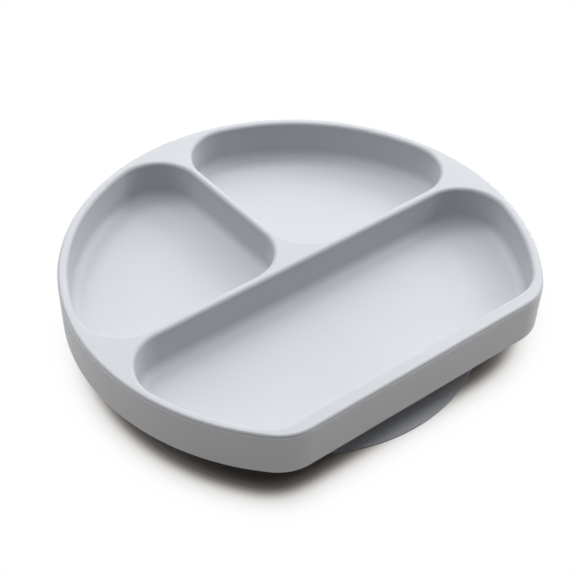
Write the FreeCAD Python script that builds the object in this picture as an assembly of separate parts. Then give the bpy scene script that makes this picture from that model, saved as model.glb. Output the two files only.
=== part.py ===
import FreeCAD, Part
import math
import os

# Divided baby plate with a suction base, moulded in one piece from silicone.
#
# Seen from above the plate is a disc with one flat side, at -Y. Three compartments are sunk into it:
# a long one beside the flat side and two mirror-image ones behind it. Narrow walls divide them, and
# all the walls end in one level rim. A wide, shallow suction cup hangs from the flat underside on a
# short neck, and the thin lip of the cup is all that touches the table.
#
# Frame: +Z up, +X along the flat side, origin on the table under the middle of the part seen from above.
# All sizes are in millimetres and all angles in degrees.

# The plate's outline, measured at the parting line, its widest level
plate_radius = 108.4
flat_side_distance = 83.3      # from the disc's centre to the flat side
outline_corner_radius = 22.4   # where the flat side meets the round

# Levels above the table
rim_height = 38.0
underside_height = 15.65
floor_thickness = 3.05

# The outer wall: one mould half shapes the rim and the other the wall below it
parting_drop = 1.2             # from the rim down to the parting line
parting_ledge = 0.25           # how far the lower wall stands out from the upper one
rim_draft = 3.0
wall_draft = 2.0
foot_bevel = 0.3
edge_bevel = 0.65              # on the rim's outer edge

# The compartments
round_wall = 4.5               # between a compartment and the round outline
flat_wall = 7.35               # between the long compartment and the flat side
long_divider = 4.4             # between the long compartment and the other two
short_divider = 3.9            # between the two rear compartments
long_divider_offset = 0.87     # of that divider's middle from the disc's centre, towards +Y
pocket_corner_radius = 21.1
pocket_draft = 1.5
pocket_floor_radius = 4.5
lip_bevel = 1.1

# The suction cup, which shares the disc's axis
cup_overhang = 0.6             # of its lip beyond the flat side
cup_lip_thickness = 1.0
cup_seat_width = 3.0           # flat ring that meets the table
cup_hollow_height = 6.5
cup_shoulder_height = 8.5      # top of the cup where it meets the neck
neck_radius = 36.0
neck_flare = 2.5               # how far the neck widens into the cup and into the plate

# The release tab at the back of the cup, by which its lip is peeled off the table
tab_width = 22.0
tab_reach = 10.0               # beyond the cup's lip
tab_root = 4.0                 # within it
tab_corner_radius = 7.0
tab_thickness = 1.8
tab_clearance = 0.6            # above the table

V = FreeCAD.Vector
ORIGIN = V(0, 0, 0)
UP = V(0, 0, 1)
FRONT = V(0, -1, 0)
BACK = V(0, 1, 0)
LEFT = V(-1, 0, 0)
RIGHT = V(1, 0, 0)
ROUND = "round"
SAME_LEVEL = 1e-4              # heights closer than this count as equal

parting_height = rim_height - parting_drop
pocket_floor_height = underside_height + floor_thickness
cup_radius = flat_side_distance + cup_overhang
disc_y = (cup_radius - plate_radius) / 2
disc_centre = V(0, disc_y, 0)
pocket_round_radius = plate_radius - round_wall
divider_y = disc_y + long_divider_offset


def inward(drop, angle):
    """How far a drafted wall comes in over a drop."""
    return drop * math.tan(math.radians(angle))


def on_round(radius, corner_radius, y):
    """The centre of a corner at y whose arc runs smoothly into the round of that radius, on the +X side."""
    reach = radius - corner_radius
    return V(math.sqrt(reach ** 2 - (y - disc_y) ** 2), y, 0)


def mirrored(point):
    return V(-point.x, point.y, point.z)


def heading(vector):
    return math.atan2(vector.y, vector.x)


def line(start, end):
    return Part.LineSegment(start, end).toShape()


def arc(centre, radius, start, end):
    """An anticlockwise arc between two directions."""
    return Part.ArcOfCircle(Part.Circle(centre, UP, radius), heading(start), heading(end)).toShape()


def side_normal(side, corner):
    """A side's outward direction where it meets a corner: radial on the round, fixed on a straight side."""
    return corner - disc_centre if side is ROUND else side


def outline(corners, corner_radius, height, inset):
    """A closed outline with rounded corners, drawn at a height and brought in by an inset.

    corners lists, anticlockwise, each corner's centre and the side that follows it."""
    lift = UP * height
    radius = corner_radius - inset
    edges = []
    for i, (centre, side) in enumerate(corners):
        following, _ = corners[(i + 1) % len(corners)]
        before = side_normal(corners[i - 1][1], centre)
        after = side_normal(side, centre)
        edges.append(arc(centre + lift, radius, before, after))
        if side is ROUND:
            round_radius = (centre - disc_centre).Length + radius
            edges.append(arc(disc_centre + lift, round_radius, after, side_normal(side, following)))
        else:
            out = lift + side * radius
            edges.append(line(centre + out, following + out))
    return Part.Wire(edges)


def drafted(corners, corner_radius, low, low_inset, high, high_inset):
    """The solid between an outline at a low level and the same outline, with another inset, at a high one."""
    sections = [
        outline(corners, corner_radius, low, low_inset),
        outline(corners, corner_radius, high, high_inset),
    ]
    return Part.makeLoft(sections, True, True)


def is_level(item, height):
    """Whether an edge or a face lies at one height."""
    box = item.BoundBox
    return abs(box.ZMin - height) < SAME_LEVEL and abs(box.ZMax - height) < SAME_LEVEL


def level_edges(shape, height):
    return [edge for edge in shape.Edges if is_level(edge, height)]


def level_face(shape, height):
    """The widest face of a shape that lies at one height."""
    return max((face for face in shape.Faces if is_level(face, height)), key=lambda face: face.Area)


def plate_blank():
    """The plate before its compartments are sunk, with its rim's outer edge still sharp."""
    corner_y = disc_y - flat_side_distance + outline_corner_radius
    right = on_round(plate_radius, outline_corner_radius, corner_y)
    corners = [(mirrored(right), FRONT), (right, ROUND)]
    foot_inset = inward(parting_height - underside_height, wall_draft)
    rim_inset = parting_ledge + inward(parting_drop, rim_draft)
    wall = drafted(corners, outline_corner_radius, underside_height, foot_inset, parting_height, 0)
    wall = wall.makeChamfer(foot_bevel, level_edges(wall, underside_height))
    rim = drafted(corners, outline_corner_radius, parting_height, parting_ledge, rim_height, rim_inset)
    return wall.fuse(rim)


def pocket(corners):
    """The hollow of a compartment, with its floor edge rounded."""
    floor_inset = inward(rim_height - pocket_floor_height, pocket_draft)
    hollow = drafted(corners, pocket_corner_radius, pocket_floor_height, floor_inset, rim_height, 0)
    return hollow.makeFillet(pocket_floor_radius, level_edges(hollow, pocket_floor_height))


def long_pocket():
    """The compartment beside the flat side."""
    front_y = disc_y - flat_side_distance + flat_wall + pocket_corner_radius
    back_y = divider_y - long_divider / 2 - pocket_corner_radius
    front = on_round(pocket_round_radius, pocket_corner_radius, front_y)
    back = on_round(pocket_round_radius, pocket_corner_radius, back_y)
    return pocket([(mirrored(front), FRONT), (front, ROUND), (back, BACK), (mirrored(back), ROUND)])


def rear_pocket():
    """The rear compartment on the +X side."""
    reach = pocket_round_radius - pocket_corner_radius
    inner_x = short_divider / 2 + pocket_corner_radius
    front_y = divider_y + long_divider / 2 + pocket_corner_radius
    inner = V(inner_x, front_y, 0)
    outer = on_round(pocket_round_radius, pocket_corner_radius, front_y)
    back = V(inner_x, disc_y + math.sqrt(reach ** 2 - inner_x ** 2), 0)
    return pocket([(inner, FRONT), (outer, ROUND), (back, LEFT)])


def plate():
    """The plate with its compartments, the rim bevelled along its outer edge and along each lip."""
    rear = rear_pocket()
    body = plate_blank().cut([long_pocket(), rear, rear.mirror(ORIGIN, RIGHT)])
    body = body.makeChamfer(edge_bevel, level_face(body, rim_height).OuterWire.Edges)
    rim = level_face(body, rim_height)
    lips = [edge for wire in rim.Wires if not wire.isSame(rim.OuterWire) for edge in wire.Edges]
    return body.makeChamfer(lip_bevel, lips)


def suction_cup():
    """The hollow cup and its neck, turned about the disc's axis. The neck runs up into the plate's floor."""
    neck_top = underside_height + floor_thickness / 2
    flared_radius = neck_radius + neck_flare
    profile = [
        V(cup_radius - cup_seat_width, 0, 0),
        V(cup_radius, 0, 0),
        V(cup_radius, 0, cup_lip_thickness),
        V(flared_radius, 0, cup_shoulder_height),
        V(neck_radius, 0, cup_shoulder_height + neck_flare),
        V(neck_radius, 0, underside_height - neck_flare),
        V(flared_radius, 0, underside_height),
        V(flared_radius, 0, neck_top),
        V(0, 0, neck_top),
        V(0, 0, cup_hollow_height),
        V(neck_radius, 0, cup_hollow_height),
    ]
    section = Part.Face(Part.makePolygon(profile + profile[:1]))
    return section.revolve(ORIGIN, UP, 360).translated(disc_centre)


def release_tab():
    """A tongue that starts inside the cup's lip and ends in a rounded tip behind it."""
    half = tab_width / 2
    root_y = disc_y + cup_radius - tab_root
    tip_y = disc_y + cup_radius + tab_reach
    bend_y = tip_y - tab_corner_radius
    right = V(half - tab_corner_radius, bend_y, 0)
    left = mirrored(right)
    edges = [
        line(V(half, root_y, 0), V(half, bend_y, 0)),
        arc(right, tab_corner_radius, RIGHT, BACK),
        line(V(right.x, tip_y, 0), V(left.x, tip_y, 0)),
        arc(left, tab_corner_radius, BACK, LEFT),
        line(V(-half, bend_y, 0), V(-half, root_y, 0)),
        line(V(-half, root_y, 0), V(half, root_y, 0)),
    ]
    return Part.Face(Part.Wire(edges)).extrude(UP * tab_thickness).translated(UP * tab_clearance)


def suction_plate():
    """The plate and its suction cup, one piece."""
    return plate().fuse([suction_cup(), release_tab()]).removeSplitter()


os.makedirs("parts", exist_ok=True)
suction_plate().exportStep("parts/suction_plate.step")
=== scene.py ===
"""The looks of a divided silicone baby plate with a suction cup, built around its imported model."""

import math

import bmesh
import bpy
from mathutils import Matrix, Vector


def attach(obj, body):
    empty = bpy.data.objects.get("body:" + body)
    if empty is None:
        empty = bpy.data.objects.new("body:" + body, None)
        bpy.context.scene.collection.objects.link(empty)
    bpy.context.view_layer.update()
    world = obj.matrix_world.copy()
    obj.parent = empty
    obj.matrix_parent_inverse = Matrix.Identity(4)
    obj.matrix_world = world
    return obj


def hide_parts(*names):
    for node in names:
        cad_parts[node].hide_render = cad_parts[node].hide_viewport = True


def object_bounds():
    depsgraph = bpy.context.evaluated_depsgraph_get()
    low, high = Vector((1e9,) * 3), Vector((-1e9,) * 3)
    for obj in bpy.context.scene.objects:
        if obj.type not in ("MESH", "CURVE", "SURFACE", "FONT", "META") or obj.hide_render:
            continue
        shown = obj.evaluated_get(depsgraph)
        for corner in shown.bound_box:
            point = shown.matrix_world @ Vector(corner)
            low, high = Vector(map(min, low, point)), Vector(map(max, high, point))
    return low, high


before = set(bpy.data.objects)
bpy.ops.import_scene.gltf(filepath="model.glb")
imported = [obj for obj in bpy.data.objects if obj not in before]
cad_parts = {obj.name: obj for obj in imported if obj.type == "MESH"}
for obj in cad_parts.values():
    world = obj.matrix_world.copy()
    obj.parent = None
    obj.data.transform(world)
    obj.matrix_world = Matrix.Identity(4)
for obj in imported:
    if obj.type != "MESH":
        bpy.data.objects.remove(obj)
cad_low, cad_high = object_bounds()

# All sizes are in metres
MM = 0.001
PLATE = "suction_plate"

# The round's radius, the rim's level and the disc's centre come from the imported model
plate_radius = (cad_high.x - cad_low.x) / 2
rim_level = cad_high.z
disc_centre = Vector((0, cad_high.y - plate_radius, 0))

# The plate's outline and outer wall
flat_side_distance = 83.3 * MM
outline_corner_radius = 22.4 * MM
parting_level = rim_level - 1.45 * MM
parting_ledge = 0.28 * MM
underside_level = 15.65 * MM
rim_draft = math.radians(6)
wall_draft = math.radians(2)
edge_radius = 1.3 * MM
foot_radius = 0.5 * MM

# The three compartments and the walls between them
floor_level = 18.7 * MM
pocket_radius = plate_radius - 4.5 * MM
pocket_corner_radius = 21.1 * MM
pocket_draft = math.radians(1.5)
pocket_floor_radius = 4.5 * MM
lip_radius = 1.9 * MM
flat_wall = 7.35 * MM
long_divider = 4.4 * MM
short_divider = 3.9 * MM
divider_y = disc_centre.y + 0.87 * MM

# The suction cup and its neck
cup_radius = 83.7 * MM
cup_lip_thickness = 1.0 * MM
cup_lip_radius = 0.2 * MM
cup_seat_width = 3.0 * MM
cup_seat_radius = 1.0 * MM
cup_ceiling_radius = 12.0 * MM
cup_hollow_height = 6.5 * MM
cup_shoulder_level = 8.9 * MM
neck_radius = 36.0 * MM
neck_blend_radius = 3.2 * MM

# The release tab behind the cup
tab_width = 22.0 * MM
tab_corner_radius = 7.0 * MM
tab_reach = 10.0 * MM
tab_root = 4.0 * MM
tab_low = 0.6 * MM
tab_high = 2.4 * MM
tab_edge_radius = 0.5 * MM

# How finely curves are stepped, how close counts as touching, and which edges stay sharp
ROUND_STEP = math.radians(1)
CORNER_STEP = math.radians(3)
BEND_STEPS = 8
CUP_STEPS = 240
FLAT_MARGIN = 0.05 * MM
TOUCH = 0.001 * MM
SHARP_ANGLE = math.radians(30)

FRONT = Vector((0, -1, 0))
BACK = Vector((0, 1, 0))
LEFT = Vector((-1, 0, 0))
RIGHT = Vector((1, 0, 0))
UP = Vector((0, 0, 1))
ROUND = "round"
FULL_TURN = 2 * math.pi
QUARTER = math.pi / 2


def mirrored(point):
    return Vector((-point.x, point.y, point.z))


def on_round(radius, corner_radius, y):
    """The centre, on the +X side, of a corner at y whose arc runs smoothly into that round."""
    reach = radius - corner_radius
    return Vector((math.sqrt(reach ** 2 - (y - disc_centre.y) ** 2), y, 0))


def side_normal(side, corner):
    """A side's outward direction at a corner: radial on the round, fixed on a straight side."""
    return (corner - disc_centre).normalized() if side is ROUND else side


def add_arc(bm, last, centre, start, end, step):
    """Spins the last point of an outline about a centre, anticlockwise between two directions."""
    sweep = (math.atan2(end.y, end.x) - math.atan2(start.y, start.x)) % FULL_TURN
    turned = bmesh.ops.spin(
        bm, geom=[last], cent=centre, axis=UP, angle=sweep, steps=max(2, round(sweep / step)))
    return next(item for item in turned["geom_last"] if isinstance(item, bmesh.types.BMVert))


def add_straight(bm, last, place):
    """Draws an outline on from its last point to another place."""
    point = bmesh.ops.extrude_vert_indiv(bm, verts=[last])["verts"][0]
    bmesh.ops.translate(bm, verts=[point], vec=place - point.co)
    return point


def add_outline(bm, corners, corner_radius, level, facing):
    """A flat face with rounded corners, facing up or down.

    corners lists, anticlockwise, each corner's centre and the side that follows it."""
    lift = UP * level
    count = len(corners)
    start = corners[0][0] + side_normal(corners[-1][1], corners[0][0]) * corner_radius + lift
    last = bm.verts.new(start)
    for i, (centre, side) in enumerate(corners):
        following = corners[(i + 1) % count][0]
        before = side_normal(corners[i - 1][1], centre)
        after = side_normal(side, centre)
        last = add_arc(bm, last, centre + lift, before, after, CORNER_STEP)
        if side is ROUND:
            end = side_normal(side, following)
            last = add_arc(bm, last, disc_centre + lift, after, end, ROUND_STEP)
        else:
            last = add_straight(bm, last, following + side * corner_radius + lift)
    loose = [edge for edge in bm.edges if not edge.link_faces]
    points = {point for edge in loose for point in edge.verts}
    bmesh.ops.remove_doubles(bm, verts=list(points), dist=TOUCH)
    loose = [edge for edge in bm.edges if not edge.link_faces]
    face = bmesh.ops.contextual_create(bm, geom=loose)["faces"][0]
    face.normal_update()
    if face.normal.z * facing < 0:
        face.normal_flip()
    return face


def go(length, heading):
    """One straight step across a section, as its reach along two axes."""
    return length * math.cos(heading), length * math.sin(heading)


def bend(radius, start, end):
    """The short steps of an arc that turns from one heading to another."""
    angle = (end - start) / BEND_STEPS
    chord = 2 * radius * math.sin(abs(angle) / 2)
    return [go(chord, start + (i + 0.5) * angle) for i in range(BEND_STEPS)]


def tangent(radius, start, end):
    """How much of each straight run an arc between two headings takes up."""
    return radius * math.tan(abs(end - start) / 2)


def step_in(bm, face, section):
    """Insets a face step by step, each step so far inwards and so far along its normal."""
    for inwards, along in section:
        bmesh.ops.inset_region(
            bm,
            faces=[face],
            thickness=inwards,
            depth=along,
            use_boundary=True,
            use_even_offset=True,
        )


def add_rim(bm):
    """The outer wall above the parting line, up to the flat of the rim."""
    climb = QUARTER - rim_draft
    used = tangent(edge_radius, climb, 0)
    face = add_outline(bm, outer_corners(), outline_corner_radius, parting_level, facing=1)
    rise = (rim_level - parting_level) / math.cos(rim_draft)
    section = [go(parting_ledge, 0), go(rise - used, climb)]
    section += bend(edge_radius, climb, 0)
    section.append(go(FLAT_MARGIN, 0))
    step_in(bm, face, section)
    bmesh.ops.delete(bm, geom=[face], context="FACES_ONLY")


def add_outer_wall(bm):
    """The outer wall below the parting line, down to the flat underside."""
    drop = QUARTER - wall_draft
    used = tangent(foot_radius, drop, 0)
    face = add_outline(bm, outer_corners(), outline_corner_radius, parting_level, facing=-1)
    fall = (parting_level - underside_level) / math.cos(wall_draft)
    section = [go(fall - used, drop)]
    section += bend(foot_radius, drop, 0)
    section.append(go(FLAT_MARGIN, 0))
    step_in(bm, face, section)
    bmesh.ops.delete(bm, geom=[face], context="FACES_ONLY")


def add_pocket(bm, corners):
    """One compartment: its rounded lip, its drafted wall and its floor with a rounded edge."""
    drop = pocket_draft - QUARTER
    lip = tangent(lip_radius, 0, drop)
    foot = tangent(pocket_floor_radius, drop, 0)
    margin = lip + FLAT_MARGIN
    face = add_outline(bm, corners, pocket_corner_radius + margin, rim_level, facing=1)
    fall = (rim_level - floor_level) / math.cos(pocket_draft)
    section = [go(FLAT_MARGIN, 0)]
    section += bend(lip_radius, 0, drop)
    section.append(go(fall - lip - foot, drop))
    section += bend(pocket_floor_radius, drop, 0)
    section.append(go(FLAT_MARGIN, 0))
    step_in(bm, face, section)


def outer_corners():
    corner_y = disc_centre.y - flat_side_distance + outline_corner_radius
    right = on_round(plate_radius, outline_corner_radius, corner_y)
    return [(mirrored(right), FRONT), (right, ROUND)]


def long_pocket_corners():
    front_y = disc_centre.y - flat_side_distance + flat_wall + pocket_corner_radius
    back_y = divider_y - long_divider / 2 - pocket_corner_radius
    front = on_round(pocket_radius, pocket_corner_radius, front_y)
    back = on_round(pocket_radius, pocket_corner_radius, back_y)
    return [(mirrored(front), FRONT), (front, ROUND), (back, BACK), (mirrored(back), ROUND)]


def right_pocket_corners():
    reach = pocket_radius - pocket_corner_radius
    inner_x = short_divider / 2 + pocket_corner_radius
    front_y = divider_y + long_divider / 2 + pocket_corner_radius
    inner = Vector((inner_x, front_y, 0))
    outer = on_round(pocket_radius, pocket_corner_radius, front_y)
    back = Vector((inner_x, disc_centre.y + math.sqrt(reach ** 2 - inner_x ** 2), 0))
    return [(inner, FRONT), (outer, ROUND), (back, LEFT)]


def left_pocket_corners():
    inner, outer, back = (mirrored(centre) for centre, _ in right_pocket_corners())
    return [(inner, RIGHT), (back, ROUND), (outer, FRONT)]


def add_cup(bm):
    """The neck and the hollow cup, spun about the disc's axis from half a section."""
    down = 3 * QUARTER
    slope = -math.atan2(cup_shoulder_level - cup_lip_thickness, cup_radius - neck_radius)
    slope_heading = FULL_TURN + slope
    inside = math.pi - math.atan2(cup_hollow_height, cup_radius - cup_seat_width - neck_radius)
    top = tangent(neck_blend_radius, math.pi, down)
    shoulder = tangent(neck_blend_radius, down, slope_heading)
    lip = tangent(cup_lip_radius, slope_heading, down)
    seat = tangent(cup_lip_radius, down, math.pi)
    seat_edge = tangent(cup_seat_radius, math.pi, inside)
    ceiling = tangent(cup_ceiling_radius, inside, math.pi)
    slope_run = (cup_radius - neck_radius) / math.cos(slope)
    hollow_run = (cup_radius - cup_seat_width - neck_radius) / math.cos(inside - math.pi)
    section = bend(neck_blend_radius, math.pi, down)
    section.append(go(underside_level - cup_shoulder_level - top - shoulder, down))
    section += bend(neck_blend_radius, down, slope_heading)
    section.append(go(slope_run - shoulder - lip, slope_heading))
    section += bend(cup_lip_radius, slope_heading, down)
    section.append(go(cup_lip_thickness - lip - seat, down))
    section += bend(cup_lip_radius, down, math.pi)
    section.append(go(cup_seat_width - seat - seat_edge, math.pi))
    section += bend(cup_seat_radius, math.pi, inside)
    section.append(go(hollow_run - seat_edge - ceiling, inside))
    section += bend(cup_ceiling_radius, inside, math.pi)
    section.append(go(neck_radius - ceiling, math.pi))
    last = bm.verts.new(disc_centre + Vector((neck_radius + top, 0, underside_level)))
    profile = [last]
    for outwards, upwards in section:
        last = add_straight(bm, last, last.co + Vector((outwards, 0, upwards)))
        profile.append(last)
    edges = [edge for edge in bm.edges if not edge.link_faces]
    bmesh.ops.spin(
        bm,
        geom=profile + edges,
        cent=disc_centre,
        axis=UP,
        angle=FULL_TURN,
        steps=CUP_STEPS,
        use_merge=True,
    )
    bmesh.ops.remove_doubles(bm, verts=bm.verts, dist=TOUCH)


def add_tab(bm):
    """The tongue behind the cup's lip, by which the cup is peeled off the table."""
    tip_y = disc_centre.y + cup_radius + tab_reach - tab_corner_radius
    root_y = disc_centre.y + cup_radius - tab_root
    bend_x = tab_width / 2 - tab_corner_radius
    outline = [
        Vector((-tab_width / 2, root_y, tab_low)),
        Vector((tab_width / 2, root_y, tab_low)),
        Vector((tab_width / 2, tip_y, tab_low)),
    ]
    last = bm.verts.new(outline[0])
    for place in outline[1:]:
        last = add_straight(bm, last, place)
    right = Vector((bend_x, tip_y, tab_low))
    left = mirrored(right)
    last = add_arc(bm, last, right, RIGHT, BACK, CORNER_STEP)
    last = add_straight(bm, last, left + BACK * tab_corner_radius)
    last = add_arc(bm, last, left, BACK, LEFT, CORNER_STEP)
    add_straight(bm, last, outline[0])
    points = [point for point in bm.verts if all(not edge.link_faces for edge in point.link_edges)]
    bmesh.ops.remove_doubles(bm, verts=points, dist=TOUCH)
    loose = [edge for edge in bm.edges if not edge.link_faces]
    base = bmesh.ops.contextual_create(bm, geom=loose)["faces"][0]
    top = bmesh.ops.extrude_face_region(bm, geom=[base], use_keep_orig=True)["geom"]
    points = [item for item in top if isinstance(item, bmesh.types.BMVert)]
    face = next(item for item in top if isinstance(item, bmesh.types.BMFace))
    bmesh.ops.translate(bm, verts=points, vec=UP * (tab_high - tab_low - tab_edge_radius))
    face.normal_update()
    if face.normal.z < 0:
        face.normal_flip()
    step_in(bm, face, bend(tab_edge_radius, QUARTER, 0))


def fill_level(bm, level):
    """Closes the flat between the open loops of edges at one level."""
    edges = [
        edge for edge in bm.edges
        if edge.is_boundary and all(abs(point.co.z - level) < TOUCH for point in edge.verts)
    ]
    bmesh.ops.triangle_fill(bm, edges=edges, normal=UP, use_beauty=True)


def make_plate():
    """The whole plate as one closed surface, and its release tab."""
    bm = bmesh.new()
    add_rim(bm)
    add_outer_wall(bm)
    for corners in (long_pocket_corners(), right_pocket_corners(), left_pocket_corners()):
        add_pocket(bm, corners)
    fill_level(bm, rim_level)
    add_cup(bm)
    fill_level(bm, underside_level)
    bmesh.ops.remove_doubles(bm, verts=bm.verts, dist=TOUCH)
    bmesh.ops.recalc_face_normals(bm, faces=bm.faces)
    tab = bmesh.new()
    add_tab(tab)
    bmesh.ops.recalc_face_normals(tab, faces=tab.faces)
    mesh = bpy.data.meshes.new("plate")
    tab.to_mesh(mesh)
    bm.from_mesh(mesh)
    bm.to_mesh(mesh)
    bm.free()
    tab.free()
    mesh.shade_smooth()
    mesh.set_sharp_from_angle(angle=SHARP_ANGLE)
    plate = bpy.data.objects.new("plate", mesh)
    bpy.context.scene.collection.objects.link(plate)
    smoothing = plate.modifiers.new("smoothing", "WEIGHTED_NORMAL")
    smoothing.keep_sharp = True
    return plate


class Nodes:
    """A material's node tree, with short ways to add and join its nodes."""

    def __init__(self, tree):
        self.tree = tree
        tree.nodes.clear()

    def add(self, kind, **settings):
        node = self.tree.nodes.new("ShaderNode" + kind)
        for name, value in settings.items():
            setattr(node, name, value)
        return node

    def join(self, source, target):
        self.tree.links.new(source, target)

    def sum(self, operation, *values):
        """A sum worked out from numbers and other nodes' outputs."""
        node = self.add("Math", operation=operation)
        for value, entry in zip(values, node.inputs):
            if isinstance(value, bpy.types.NodeSocket):
                self.join(value, entry)
            else:
                entry.default_value = value
        return node.outputs["Value"]


# The silicone: its colour's two ends, and the scales of its clouding and grain across a metre
SILICONE_IOR = 1.41
SHEEN = 0.05
SHEEN_ROUGHNESS = 0.4
CLOUD_SCALE = 28
CLOUD_DETAIL = 3
CLOUD_COLOURS = [(0.3, (0.518, 0.537, 0.567, 1)), (0.7, (0.532, 0.551, 0.582, 1))]
GRAIN_SCALE = 2200
GRAIN_DETAIL = 2
GRAIN_STRENGTH = 0.15
GRAIN_DEPTH = 0.05 * MM
SMOOTHEST = 0.5
ROUGHEST = 0.62


def silicone():
    """Soft matt silicone: a fine grain, faint clouding of its colour and a broad soft sheen."""
    material = bpy.data.materials.new("silicone")
    material.use_nodes = True
    nodes = Nodes(material.node_tree)
    place = nodes.add("TexCoord")
    output = nodes.add("OutputMaterial")
    shader = nodes.add("BsdfPrincipled")
    shader.inputs["IOR"].default_value = SILICONE_IOR
    shader.inputs["Sheen Weight"].default_value = SHEEN
    shader.inputs["Sheen Roughness"].default_value = SHEEN_ROUGHNESS
    nodes.join(shader.outputs["BSDF"], output.inputs["Surface"])

    clouds = nodes.add("TexNoise")
    clouds.inputs["Scale"].default_value = CLOUD_SCALE
    clouds.inputs["Detail"].default_value = CLOUD_DETAIL
    nodes.join(place.outputs["Object"], clouds.inputs["Vector"])
    colours = nodes.add("ValToRGB")
    for stop, (position, colour) in zip(colours.color_ramp.elements, CLOUD_COLOURS):
        stop.position = position
        stop.color = colour
    nodes.join(clouds.outputs["Fac"], colours.inputs["Fac"])
    nodes.join(colours.outputs["Color"], shader.inputs["Base Color"])

    grain = nodes.add("TexNoise")
    grain.inputs["Scale"].default_value = GRAIN_SCALE
    grain.inputs["Detail"].default_value = GRAIN_DETAIL
    nodes.join(place.outputs["Object"], grain.inputs["Vector"])
    roughness = nodes.add("MapRange")
    roughness.inputs["To Min"].default_value = SMOOTHEST
    roughness.inputs["To Max"].default_value = ROUGHEST
    nodes.join(grain.outputs["Fac"], roughness.inputs["Value"])
    nodes.join(roughness.outputs["Result"], shader.inputs["Roughness"])
    bump = nodes.add("Bump")
    bump.inputs["Strength"].default_value = GRAIN_STRENGTH
    bump.inputs["Distance"].default_value = GRAIN_DEPTH
    nodes.join(grain.outputs["Fac"], bump.inputs["Height"])
    nodes.join(bump.outputs["Normal"], shader.inputs["Normal"])
    return material


# The floor's size, its colour as it lights the plate, and a darker colour painted where it is seen
# near the plate, which deepens the shadow there
FLOOR_SIZE = 10
FLOOR_COLOUR = (0.755, 0.71, 0.68, 1)
PAINTED_SHADOW_COLOUR = Vector((0.212, 0.200, 0.188))

# The painted shadow's edge: a round, the flat side and a slanting side, joined softly
SHADOW_CENTRE = disc_centre + Vector((0.5, -6.7, 0)) * MM
SHADOW_RADIUS = 105.6 * MM
SHADOW_FRONT = 83.4 * MM
SHADOW_SLANT = math.radians(-57.7)
SHADOW_SLANT_DISTANCE = 100.6 * MM
SHADOW_SOFTNESS = 16 * MM

# How white the floor is painted at distances outside that edge, fading into painted shadow with a
# warm tint
PAINTED_SHADOW_FADE = [
    (-12 * MM, (0, 0, 0)),
    (-9 * MM, (0.018, 0.016, 0.013)),
    (-6 * MM, (0.075, 0.068, 0.062)),
    (-4 * MM, (0.202, 0.191, 0.181)),
    (-2 * MM, (0.452, 0.438, 0.427)),
    (0, (0.689, 0.680, 0.672)),
    (2 * MM, (0.816, 0.811, 0.806)),
    (5 * MM, (0.925, 0.922, 0.918)),
    (9 * MM, (0.986, 0.985, 0.983)),
    (14 * MM, (1, 1, 1)),
]


def is_seen(nodes):
    """Whether a ray comes from the camera or from a glossy or clear surface."""
    path = nodes.add("LightPath").outputs
    seen = nodes.sum("MAXIMUM", path["Is Camera Ray"], path["Is Glossy Ray"])
    return nodes.sum("MAXIMUM", seen, path["Is Transmission Ray"])


def beyond(nodes, place, towards, distance):
    """How far a place on the floor lies beyond a straight line, seen from the disc's centre."""
    along = nodes.add("VectorMath", operation="DOT_PRODUCT")
    along.inputs[1].default_value = towards
    nodes.join(place, along.inputs[0])
    return nodes.sum("SUBTRACT", along.outputs["Value"], distance + disc_centre.dot(towards))


def painted_shadow_whiteness(nodes):
    """How white the floor is painted, from its distance outside the painted shadow's edge."""
    place = nodes.add("TexCoord").outputs["Object"]
    apart = nodes.add("VectorMath", operation="DISTANCE")
    apart.inputs[1].default_value = SHADOW_CENTRE
    nodes.join(place, apart.inputs[0])
    outside = nodes.sum("SUBTRACT", apart.outputs["Value"], SHADOW_RADIUS)
    slanting = Vector((math.cos(SHADOW_SLANT), math.sin(SHADOW_SLANT), 0))
    for towards, distance in ((FRONT, SHADOW_FRONT), (slanting, SHADOW_SLANT_DISTANCE)):
        past_side = beyond(nodes, place, towards, distance)
        outside = nodes.sum("SMOOTH_MAX", outside, past_side, SHADOW_SOFTNESS)
    near, far = PAINTED_SHADOW_FADE[0][0], PAINTED_SHADOW_FADE[-1][0]
    reach = nodes.add("MapRange")
    reach.inputs["From Min"].default_value = near
    reach.inputs["From Max"].default_value = far
    nodes.join(outside, reach.inputs["Value"])
    ramp = nodes.add("ValToRGB")
    stops = ramp.color_ramp.elements
    stops.remove(stops[0])
    for distance, colour in PAINTED_SHADOW_FADE[:-1]:
        stops.new((distance - near) / (far - near)).color = (*colour, 1)
    stops[len(stops) - 1].color = (*PAINTED_SHADOW_FADE[-1][1], 1)
    nodes.join(reach.outputs["Result"], ramp.inputs["Fac"])
    return ramp.outputs["Color"]


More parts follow.
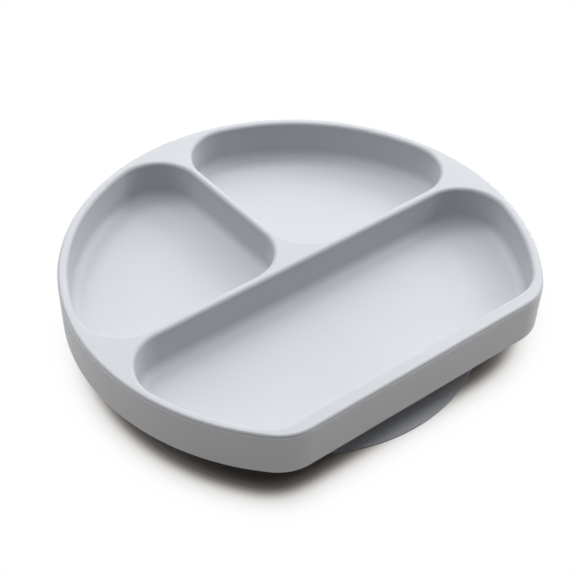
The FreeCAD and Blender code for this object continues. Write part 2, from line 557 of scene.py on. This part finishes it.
def pale_floor():
    """A pale floor seen as white, with a painted shadow near the plate: its darkness, reach and warm
    tint are drawn on top of the shadow that the lamps cast.
    """
    material = bpy.data.materials.new("pale_floor")
    material.use_nodes = True
    nodes = Nodes(material.node_tree)
    output = nodes.add("OutputMaterial")
    surface = nodes.add("BsdfDiffuse")
    surface.inputs["Color"].default_value = FLOOR_COLOUR
    white = painted_shadow_whiteness(nodes)
    # Painted shadow: the seen floor's colour darkens towards the plate as the painted white fades
    # out
    shade = nodes.add("VectorMath", operation="MULTIPLY_ADD")
    nodes.join(white, shade.inputs[0])
    shade.inputs[1].default_value = -PAINTED_SHADOW_COLOUR
    shade.inputs[2].default_value = PAINTED_SHADOW_COLOUR
    shaded = nodes.add("BsdfDiffuse")
    nodes.join(shade.outputs["Vector"], shaded.inputs["Color"])
    # The seen floor glows white away from the plate, and this glow fading out near it paints the
    # shadow's edge
    glow = nodes.add("Emission")
    nodes.join(white, glow.inputs["Color"])
    picture = nodes.add("AddShader")
    nodes.join(shaded.outputs["BSDF"], picture.inputs[0])
    nodes.join(glow.outputs["Emission"], picture.inputs[1])
    both = nodes.add("MixShader")
    nodes.join(is_seen(nodes), both.inputs["Fac"])
    nodes.join(surface.outputs["BSDF"], both.inputs[1])
    nodes.join(picture.outputs["Shader"], both.inputs[2])
    nodes.join(both.outputs["Shader"], output.inputs["Surface"])
    return material


def add_floor():
    bm = bmesh.new()
    bmesh.ops.create_grid(bm, x_segments=1, y_segments=1, size=FLOOR_SIZE)
    mesh = bpy.data.meshes.new("floor")
    bm.to_mesh(mesh)
    bm.free()
    floor = bpy.data.objects.new("floor", mesh)
    floor.data.materials.append(pale_floor())
    bpy.context.scene.collection.objects.link(floor)


def add_world():
    """A white background for what is seen, which adds no light of its own."""
    world = bpy.data.worlds.new("studio")
    world.use_nodes = True
    bpy.context.scene.world = world
    nodes = Nodes(world.node_tree)
    background = nodes.add("Background")
    output = nodes.add("OutputWorld")
    nodes.join(is_seen(nodes), background.inputs["Strength"])
    background.inputs["Color"].default_value = (1, 1, 1, 1)
    nodes.join(background.outputs["Background"], output.inputs["Surface"])


# Square soft lamps on a dome about the plate
LAMP_DISTANCE = 1.5
LAMPS = [
    # name, azimuth and elevation in degrees, size in metres, watts
    ("right_high", 90, 45, 1.2, 9.1),
    ("back_high", 180, 45, 1.2, 6.1),
    ("back_left_top", 225, 70, 1.2, 3.1),
    ("overhead", 0, 89.9, 1.2, 7.4),
    ("right_low", 80, 30, 0.6, 6.1),
    ("right_back_low", 100, 30, 0.6, 2.9),
    ("back_right_low", 140, 30, 0.6, 3.0),
    ("back_left_low", 230, 30, 0.6, 3.0),
    ("back_top", 180, 60, 0.6, 3.2),
]


def direction(azimuth, elevation):
    """The direction from the plate towards a lamp or the camera."""
    return Vector((
        math.sin(azimuth) * math.cos(elevation),
        -math.cos(azimuth) * math.cos(elevation),
        math.sin(elevation),
    ))


def add_lamps():
    for name, azimuth, elevation, size, watts in LAMPS:
        lamp = bpy.data.lights.new(name, "AREA")
        lamp.size = size
        lamp.energy = watts
        towards = direction(math.radians(azimuth), math.radians(elevation))
        placed = bpy.data.objects.new(name, lamp)
        placed.location = towards * LAMP_DISTANCE
        placed.rotation_euler = towards.to_track_quat("Z", "Y").to_euler()
        bpy.context.scene.collection.objects.link(placed)


# The camera's place and turn, as in the photograph
CAMERA_PLACE = Vector((-0.32642, -0.39828, 0.47349))
CAMERA_AZIMUTH = math.radians(-39.613)
CAMERA_ELEVATION = math.radians(41.879)
CAMERA_ROLL = math.radians(1.706)
LENS = 92.971
SENSOR_WIDTH = 36


def add_camera():
    camera = bpy.data.cameras.new("camera")
    camera.sensor_width = SENSOR_WIDTH
    camera.lens = LENS
    placed = bpy.data.objects.new("camera", camera)
    turn = Matrix.Rotation(CAMERA_AZIMUTH, 4, "Z")
    tilt = Matrix.Rotation(QUARTER - CAMERA_ELEVATION, 4, "X")
    roll = Matrix.Rotation(CAMERA_ROLL, 4, "Z")
    placed.matrix_world = Matrix.Translation(CAMERA_PLACE) @ turn @ tilt @ roll
    bpy.context.scene.collection.objects.link(placed)
    bpy.context.scene.camera = placed


add_camera()
add_world()
add_floor()
add_lamps()

plate = make_plate()
plate.data.materials.append(silicone())
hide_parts(PLATE)
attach(plate, "root")

bpy.context.scene.view_settings.view_transform = "Standard"
